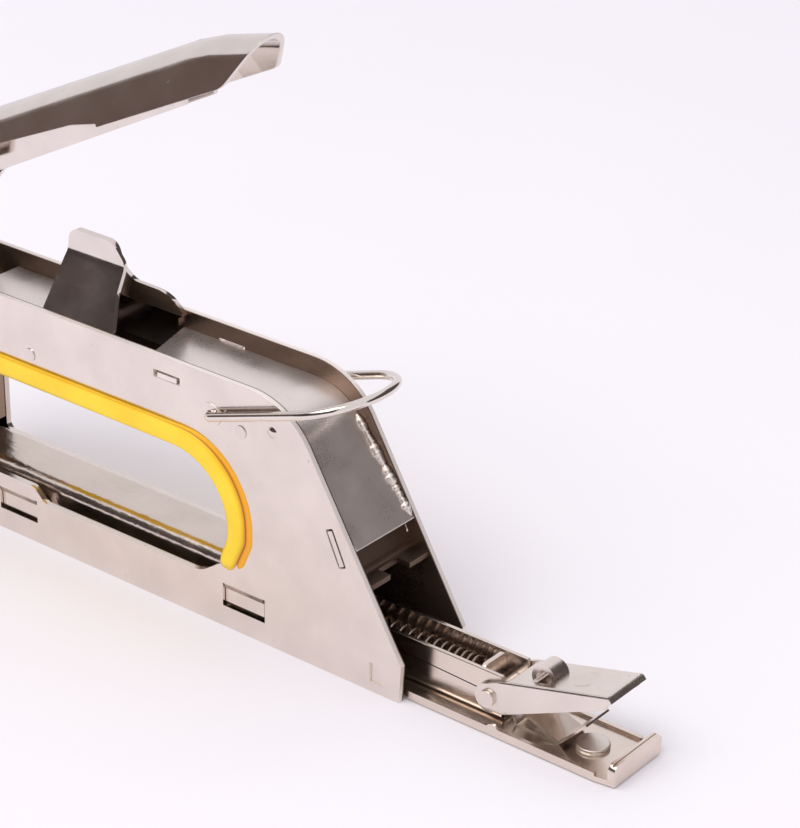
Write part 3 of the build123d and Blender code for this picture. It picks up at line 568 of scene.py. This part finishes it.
def make_bead():
    """Rough weld bead in the corner between the rear slope of the cover and the left panel."""
    low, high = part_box("spine_cover")
    low = low / MM
    high = high / MM
    top = Vector((high.x - BEAD_TOP[0], high.z - BEAD_TOP[1]))
    foot = Vector((high.x - BEAD_FOOT[0], low.z + BEAD_FOOT[1]))
    way = (foot - top).normalized()
    out = Vector((-way.y, way.x))
    tip, growth = BEAD_TAPER
    rng = random.Random(BEAD_SEED)
    bm = bmesh.new()
    rings = []
    size = BEAD_START
    for i in range(BEAD_RINGS):
        t = i / (BEAD_RINGS - 1)
        aim = (BEAD_MEAN + BEAD_SWELL * math.sin(BEAD_SWELL_RATE * t)
               + rng.uniform(-BEAD_JITTER, BEAD_JITTER))
        size += (aim - size) * BEAD_FOLLOW
        girth = size * min(1.0, tip + growth * t, tip + growth * (1 - t))
        middle = top.lerp(foot, t)
        verts = []
        for k in range(BEAD_SIDES):
            a = 2 * math.pi * k / BEAD_SIDES
            r = girth * (1 + rng.uniform(-BEAD_ROUGHNESS, BEAD_ROUGHNESS))
            p = middle + out * (r * math.cos(a) + BEAD_RISE)
            y = BEAD_WALL - BEAD_INSET + r * BEAD_WIDTH * math.sin(a)
            y = min(y, BEAD_WALL - BEAD_WALL_GAP)
            verts.append(bm.verts.new((p.x * MM, y * MM, p.y * MM)))
        rings.append(verts)
    close_tube(bm, rings)
    for f in bm.faces:
        f.smooth = True
    ob = bpy.data.objects.new("cover_weld_bead", to_mesh(bm, "bead"))
    attach(ob, "body", rivet_mat)


make_bead()

# Floor, and dark cards that only the metal's reflections show, in metres
FLOOR_HALF = 6
CARD_LOW = 0.02
CARD_HIGH = 1.9
CARD_Y = -1.3
CARD_LEFT = -5.5
CARD_JOINT = -1.6
CARD_RIGHT = 1.0
REAR_LOW = 0.03
REAR_LEFT = (-0.1, 1.9, 1.7)
REAR_RIGHT = (2.4, 0.1, 1.5)
PAPER_ROUGHNESS = 0.9
PAPER_SPECULAR = 0.1
PAPER_MOTTLE_SCALE = 6
PAPER_MOTTLE_SHADE = 0.985


def stage_material(name, color):
    mat, tree, shader = new_tree(name)
    shader.inputs["Roughness"].default_value = PAPER_ROUGHNESS
    shader.inputs["Specular IOR Level"].default_value = PAPER_SPECULAR
    mottle = span(tree, noise(tree, PAPER_MOTTLE_SCALE, 2), 0.3, 0.7, 0, 1)
    tint = mix_color(tree, mottle, tuple(c * PAPER_MOTTLE_SHADE for c in color), color)
    tree.links.new(tint, shader.inputs["Base Color"])
    return mat


def sheet(name, corners, mat, only_glossy=False):
    mesh = bpy.data.meshes.new(name)
    mesh.from_pydata(corners, [], [(0, 1, 2, 3)])
    mesh.materials.append(mat)
    ob = bpy.data.objects.new(name, mesh)
    scene.collection.objects.link(ob)
    if only_glossy:
        ob.visible_camera = False
        ob.visible_diffuse = False
        ob.visible_shadow = False
        ob.visible_transmission = False


def card(name, left, right, low, mat):
    """An upright card between two upper corners (x, y, z) and the height of its lower edge."""
    sheet(name, [(*left[:2], low), (*right[:2], low), right, left], mat, True)


sheet("floor", [(-FLOOR_HALF, -FLOOR_HALF, 0), (FLOOR_HALF, -FLOOR_HALF, 0),
                (FLOOR_HALF, FLOOR_HALF, 0), (-FLOOR_HALF, FLOOR_HALF, 0)],
      stage_material("floor_paper", (0.875, 0.85, 0.89)))
card("card_front", (CARD_JOINT, CARD_Y, CARD_HIGH), (CARD_RIGHT, CARD_Y, CARD_HIGH), CARD_LOW,
     stage_material("dark_card", (0.07, 0.056, 0.052)))
card("card_side", (CARD_LEFT, CARD_Y, CARD_HIGH), (CARD_JOINT, CARD_Y, CARD_HIGH), CARD_LOW,
     stage_material("side_card", (0.17, 0.125, 0.105)))
card("card_rear", REAR_LEFT, REAR_RIGHT, REAR_LOW,
     stage_material("rear_card", (0.09, 0.075, 0.068)))

# Light
WORLD_COLOR = (0.97, 0.95, 0.985, 1)
WORLD_STRENGTH = 0.9
KEY_PLACE = Vector((-0.1, -0.75, 1.3))
KEY_TARGET = Vector((0.1, -0.1, 0.0))
KEY_SIZE = (1.2, 0.9)
KEY_POWER = 9.0
KEY_COLOR = (1.0, 0.985, 0.97)

world = bpy.data.worlds.new("studio")
scene.world = world
world.use_nodes = True
background = world.node_tree.nodes["Background"]
background.inputs["Color"].default_value = WORLD_COLOR
background.inputs["Strength"].default_value = WORLD_STRENGTH

key_light = bpy.data.lights.new("key", "AREA")
key_light.shape = "RECTANGLE"
key_light.size, key_light.size_y = KEY_SIZE
key_light.energy = KEY_POWER
key_light.color = KEY_COLOR
key = bpy.data.objects.new("key", key_light)
key.location = KEY_PLACE
key.rotation_euler = (KEY_TARGET - KEY_PLACE).to_track_quat("-Z", "Y").to_euler()
scene.collection.objects.link(key)

# Camera at the photograph's place, in metres, degrees and millimetres of film
CAMERA_PLACE = (0.44297, -0.37762, 0.29803)
CAMERA_AZIMUTH = 38.234
CAMERA_ELEVATION = 26.376
CAMERA_ROLL = -0.976
CAMERA_LENS = 115.57
CAMERA_SENSOR = 36.0
CAMERA_NEAR = 0.01

azimuth = math.radians(CAMERA_AZIMUTH)
elevation = math.radians(CAMERA_ELEVATION)
roll = math.radians(CAMERA_ROLL)
back = Vector((math.sin(azimuth) * math.cos(elevation),
               -math.cos(azimuth) * math.cos(elevation),
               math.sin(elevation)))
right = (-back).cross(Vector((0, 0, 1))).normalized()
down = (-back).cross(right)
turned_right = math.cos(roll) * right + math.sin(roll) * down
turned_down = -math.sin(roll) * right + math.cos(roll) * down
camera_data = bpy.data.cameras.new("camera")
camera_data.lens = CAMERA_LENS
camera_data.sensor_width = CAMERA_SENSOR
camera_data.clip_start = CAMERA_NEAR
camera = bpy.data.objects.new("camera", camera_data)
axes = Matrix((turned_right, -turned_down, back)).transposed().to_4x4()
camera.matrix_world = Matrix.Translation(CAMERA_PLACE) @ axes
scene.collection.objects.link(camera)
scene.camera = camera
